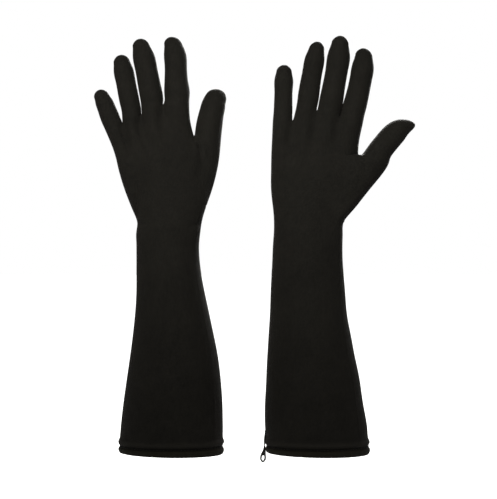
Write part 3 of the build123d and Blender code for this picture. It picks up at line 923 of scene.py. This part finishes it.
# ---- the two gloves
WRIST_BLEND = (18 * MM, 14 * MM)  # below and above the wrist's hinge
FINGER_BLEND = (1.5 * MM, 17 * MM)  # along the finger, below and above its flex line


def add_glove(name):
    glove = Glove(name)
    points, faces, numbers, weave, parts = fitted(build_cage(glove))
    points, normals = shape_surface(name, points, faces, numbers, parts)
    if PALM[name] < 0:
        faces, weave = faces[:, ::-1], weave[:, ::-1]
        normals = -normals
    wrist = Vector(JOINTS[f"{name}_wrist_flex"]["pos_m"])
    up = Vector((0, 0, 1))
    for number, part in enumerate(parts):
        chosen = numbers == number
        side = part == "arm_gore" or part.endswith(("_near", "_far"))
        material = SIDE_JERSEY if side else JERSEY
        piece = cloth_piece(f"{name}_{part}_cloth", points, normals, faces[chosen], weave[chosen], material)
        if part in ("back_panel", "palm_panel", "arm_gore"):
            start, end = wrist - up * WRIST_BLEND[0], wrist + up * WRIST_BLEND[1]
            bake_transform(piece)
            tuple(start)
            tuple(end)
            if part == "arm_gore":
                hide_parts(f"{name}_arm_gore")
            else:
                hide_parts(f"{name}_arm_{part}", f"{name}_hand_{part}")
            continue
        finger, strip = part.split("_")
        joint = JOINTS[f"{name}_{finger}_flex"]
        root = Vector(joint["pos_m"])
        along = Vector((0, PALM[name], 0)).cross(Vector(joint["axis"])).normalized()
        if finger == "thumb":
            first, second = (Vector((x, y * PALM[name], z)) for x, y, z, _ in THUMB_PATH[name][:2])
            along = (second - first).normalized()
        start, end = root - along * FINGER_BLEND[0], root + along * FINGER_BLEND[1]
        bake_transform(piece)
        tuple(start)
        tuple(end)
        if finger == "thumb":
            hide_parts(f"{name}_thumb_{strip}_half")
        elif side:
            neighbour = FINGERS[FINGERS.index(finger) + (1 if strip == "far" else -1)]
            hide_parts(f"{name}_{finger}_fourchette_by_{neighbour}")
        else:
            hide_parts(f"{name}_{finger}_{strip}_strip")

    band = hem_roll(f"{name}_hem_roll", glove)
    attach(band, f"{name}_arm")
    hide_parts(f"{name}_hem_band")
    stitches = hem_stitches(f"{name}_hem_thread", glove)
    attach(stitches, f"{name}_arm")
    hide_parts(f"{name}_hem_stitching")
    elastic = frame["nodes"][f"{name}_hem_elastic"].data
    elastic.materials.clear()
    elastic.materials.append(ELASTIC)


for pair_glove in PALM:
    add_glove(pair_glove)


# ---- tab and hanging loop
TAB_DROP = 1.8 * MM  # the soft fold hangs below the plain CAD tab, down to the cord
CORD_RADIUS = 0.90 * MM
CORD_TOP = 6.7  # both ends of the cord, in millimetres


def add_tab():
    """A folded piece of tape: two layers with a rounded fold at the bottom and sewn edges at the top."""
    low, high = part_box("right_loop_tab")
    centre = (low + high) / 2
    half_x, half_y = (high.x - low.x) / 2, (high.y - low.y) / 2
    half_section = [(1, 0), (1, 0.75), (0.7, 1), (-0.7, 1), (-1, 0.75)]
    section = half_section + [(-x, -y) for x, y in half_section]
    rows = 16
    points = []
    for row in range(rows + 1):
        share = (1 - np.cos(np.pi * row / rows)) / 2
        z = low.z - TAB_DROP + (high.z - low.z + TAB_DROP) * share
        thick = half_x * (0.62 + 0.38 * np.sin(np.pi * min(share * 1.15, 1.0)) ** 2)
        wide = half_y * (0.92 + 0.08 * smooth(share * 3))
        lean = 0.8 * MM * share ** 2
        points += [(centre.x + thick * x + lean, centre.y + wide * y, z) for x, y in section]
    faces = tube_faces(0, rows + 1, len(section))
    tab = built_piece("right_tape_tab", points, faces, TAPE, smooth_ends=True)
    smoothing = tab.modifiers.new("smooth", "SUBSURF")
    smoothing.levels = smoothing.render_levels = 2
    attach(tab, "right_arm")
    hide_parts("right_loop_tab")
    return centre.x


def add_binding(tab_x):
    """Thread wound round both strands of the loop below the tab, wider where the strands part."""
    heights = np.array((5.4, 2.7, 0.6, -2.4))
    strands = ((-0.1, -0.6, -1.9, -3.35), (0.0, 0.1, 0.3, 0.5), (0.85, 0.75, 0.5, 0.25))  # left, right, depth
    rows, sides, wraps = 110, 28, 15
    points = []
    for row in range(rows + 1):
        z = heights[0] + (heights[-1] - heights[0]) * row / rows
        left, right, deep = (np.interp(-z, -heights, values) for values in strands)
        end = min(row, rows - row, 4) / 4
        wound = 0.93 * (0.55 + 0.45 * np.sqrt(end)) + 0.07 * np.cos(2 * np.pi * wraps * row / rows)
        for turn in 2 * np.pi * np.arange(sides) / sides:
            x = (left + right) / 2 + ((right - left) / 2 + wound) * np.cos(turn)
            points.append((tab_x + x * MM, (deep + wound) * np.sin(turn) * MM, (z + 0.12 * np.cos(turn)) * MM))
    binding = built_piece("right_loop_binding", points, tube_faces(0, rows + 1, sides), TAPE)
    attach(binding, "hang_loop")
    return binding


def add_loop(tab_x):
    route = [
        (0.0, -0.9, CORD_TOP), (-0.5, -0.7, 2.8), (-3.3, -0.3, -1.6), (-3.8, -0.1, -6.4), (-1.6, 0.0, -8.6),
        (0.6, 0.1, -6.4), (0.5, 0.3, -1.6), (0.1, 0.8, 2.6), (0.0, 0.9, CORD_TOP),
    ]
    curve = bpy.data.curves.new("right_loop_cord", "CURVE")
    curve.dimensions = "3D"
    spline = curve.splines.new("NURBS")
    spline.points.add(len(route) - 1)
    for point, (x, y, z) in zip(spline.points, route):
        point.co = (tab_x + x * MM, y * MM, z * MM, 1)
    spline.order_u = 3
    spline.use_endpoint_u = True
    spline.resolution_u = 10
    curve.bevel_depth = CORD_RADIUS
    curve.bevel_resolution = 6
    curve.use_fill_caps = True
    curve.materials.append(TAPE)
    cord = link("right_loop_cord", curve)
    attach(cord, "hang_loop")
    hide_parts("right_hang_loop")
    binding = add_binding(tab_x)


add_loop(add_tab())


# ---- floor, light and camera
def add_area(name, place, target, size, energy, colour=(1, 1, 1), spread=np.pi):
    data = bpy.data.lights.new(name, "AREA")
    data.shape = "RECTANGLE"
    data.size, data.size_y = size
    data.energy = energy
    data.color = colour
    data.spread = spread
    lamp = link(name, data)
    lamp.location = place
    lamp.rotation_euler = (Vector(target) - Vector(place)).to_track_quat("-Z", "Y").to_euler()


FLOOR_REACH = 14.0


def add_surroundings():
    low, high = cad_box
    middle = (low + high) / 2
    floor_mesh = bpy.data.meshes.new("studio_floor")
    drop = low.z - 50 * MM
    corners = [(x * FLOOR_REACH, y * FLOOR_REACH, drop) for x, y in ((-1, -1), (1, -1), (1, 1), (-1, 1))]
    floor_mesh.from_pydata(corners, [], [(0, 1, 2, 3)])
    floor = link("studio_floor", floor_mesh)
    paint = Finish("pale_floor")
    paint.set(
        Base_Color=(0.97, 0.97, 0.97, 1),
        Roughness=1.0,
        Specular_IOR_Level=0.0,
        Emission_Color=(1, 1, 1, 1),
        Emission_Strength=0.35,
    )
    floor_mesh.materials.append(paint.material)

    world = bpy.data.worlds.new("studio")
    world.use_nodes = True
    background = world.node_tree.nodes["Background"]
    background.inputs["Color"].default_value = (1.0, 1.0, 1.0, 1)
    background.inputs["Strength"].default_value = 1.0
    bpy.context.scene.world = world
    hands = (middle.x, 0, low.z + 0.82 * (high.z - low.z))
    key = (hands, (0.6, 0.35), 9, (1.0, 0.985, 0.95), 1.5)
    add_area("key", (middle.x - 0.10, -0.44, high.z + 0.10), *key)
    add_area("fill", (middle.x + 0.9, -1.1, middle.z + 0.3), (middle.x, 0, middle.z), (0.9, 1.2), 3)
    add_area("back_key", (middle.x + 0.10, 0.44, high.z + 0.10), *key)

    data = bpy.data.cameras.new("camera")
    data.lens = 111.6
    data.sensor_width = 36
    data.dof.use_dof = False
    data.clip_start, data.clip_end = 0.05, 60
    camera = link("camera", data)
    camera.location = (0.0757, -1.5, 0.1974)
    camera.rotation_euler = (np.pi / 2, 0, 0)
    bpy.context.scene.camera = camera
    bpy.context.scene.view_settings.view_transform = "Standard"


add_surroundings()
